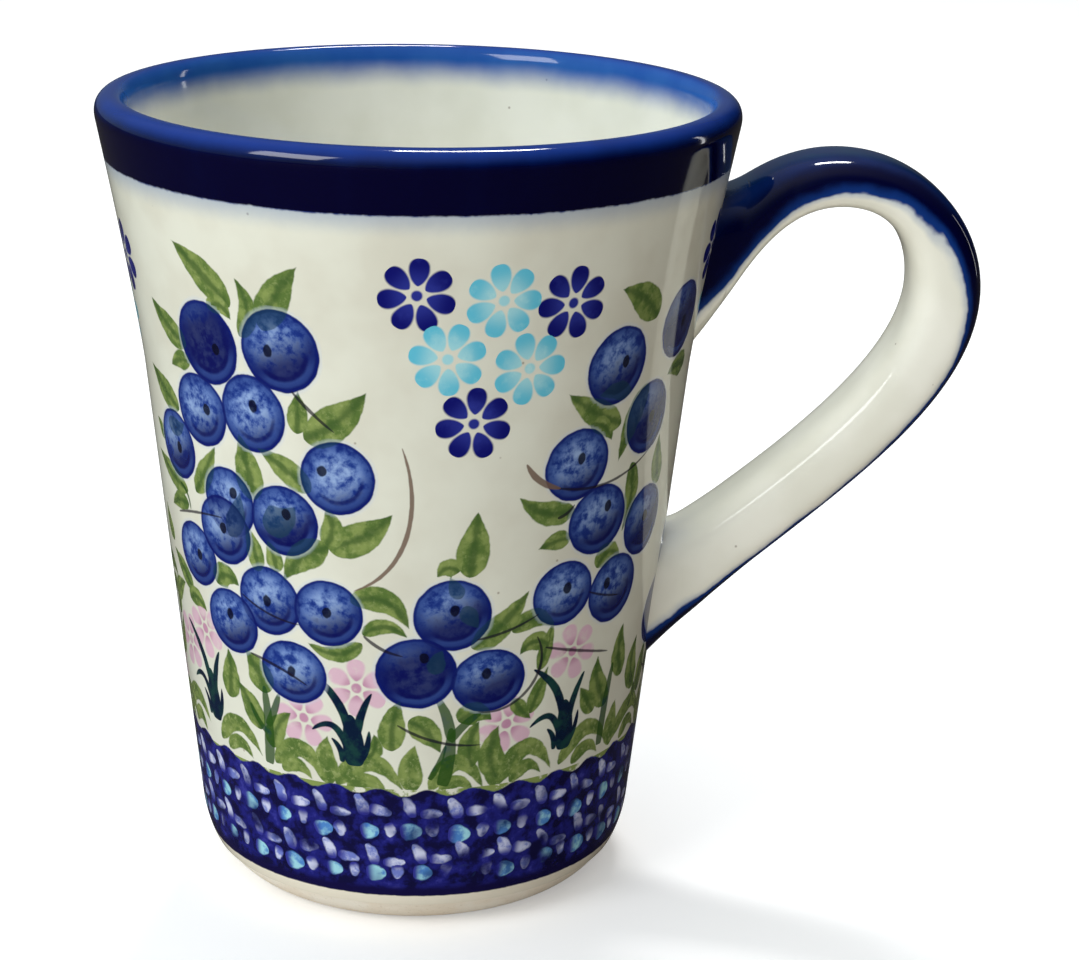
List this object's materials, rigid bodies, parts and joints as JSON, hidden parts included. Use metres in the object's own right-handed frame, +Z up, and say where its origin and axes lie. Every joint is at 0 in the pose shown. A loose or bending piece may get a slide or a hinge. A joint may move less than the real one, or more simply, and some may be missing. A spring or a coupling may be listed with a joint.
{
  "type": "stoneware mug",
  "caption": "Tall tapered stoneware mug with a loop handle, cobalt rim, hand-stamped blue berries, leaves and flowers on cream, and a dotted navy band above a bare foot.",
  "frame": {"origin": "centre of the foot ring, on the plane that the mug stands on", "axes": "+Z up along the axis of the cup, +X from the axis towards the handle"},
  "size_m": [0.1197, 0.0862, 0.11],
  "materials": {
    "stoneware": "bare fired stoneware, smooth turned clay",
    "slip": "fired joining slip",
    "handle_glaze": "glossy cream glaze over stoneware, cobalt brushed over its outer face",
    "liner_glaze": "glossy cream glaze with fine iron specks",
    "cobalt_glaze": "glossy cobalt, near black where it lies thick",
    "painted_glaze": "glossy clear glaze over hand-stamped berries, leaves and flowers on cream",
    "band_glaze": "glossy navy with small sponge-stamped white and pale blue drops"
  },
  "bodies": {
    "root": {"cup": "stoneware", "handle": "handle_glaze", "upper_slip_joint": "slip", "lower_slip_joint": "slip", "liner_glaze": "liner_glaze", "rim_glaze": "cobalt_glaze", "wall_glaze": "painted_glaze", "band_glaze": "band_glaze", "base_glaze": "liner_glaze"}
  },
  "joints": []
}
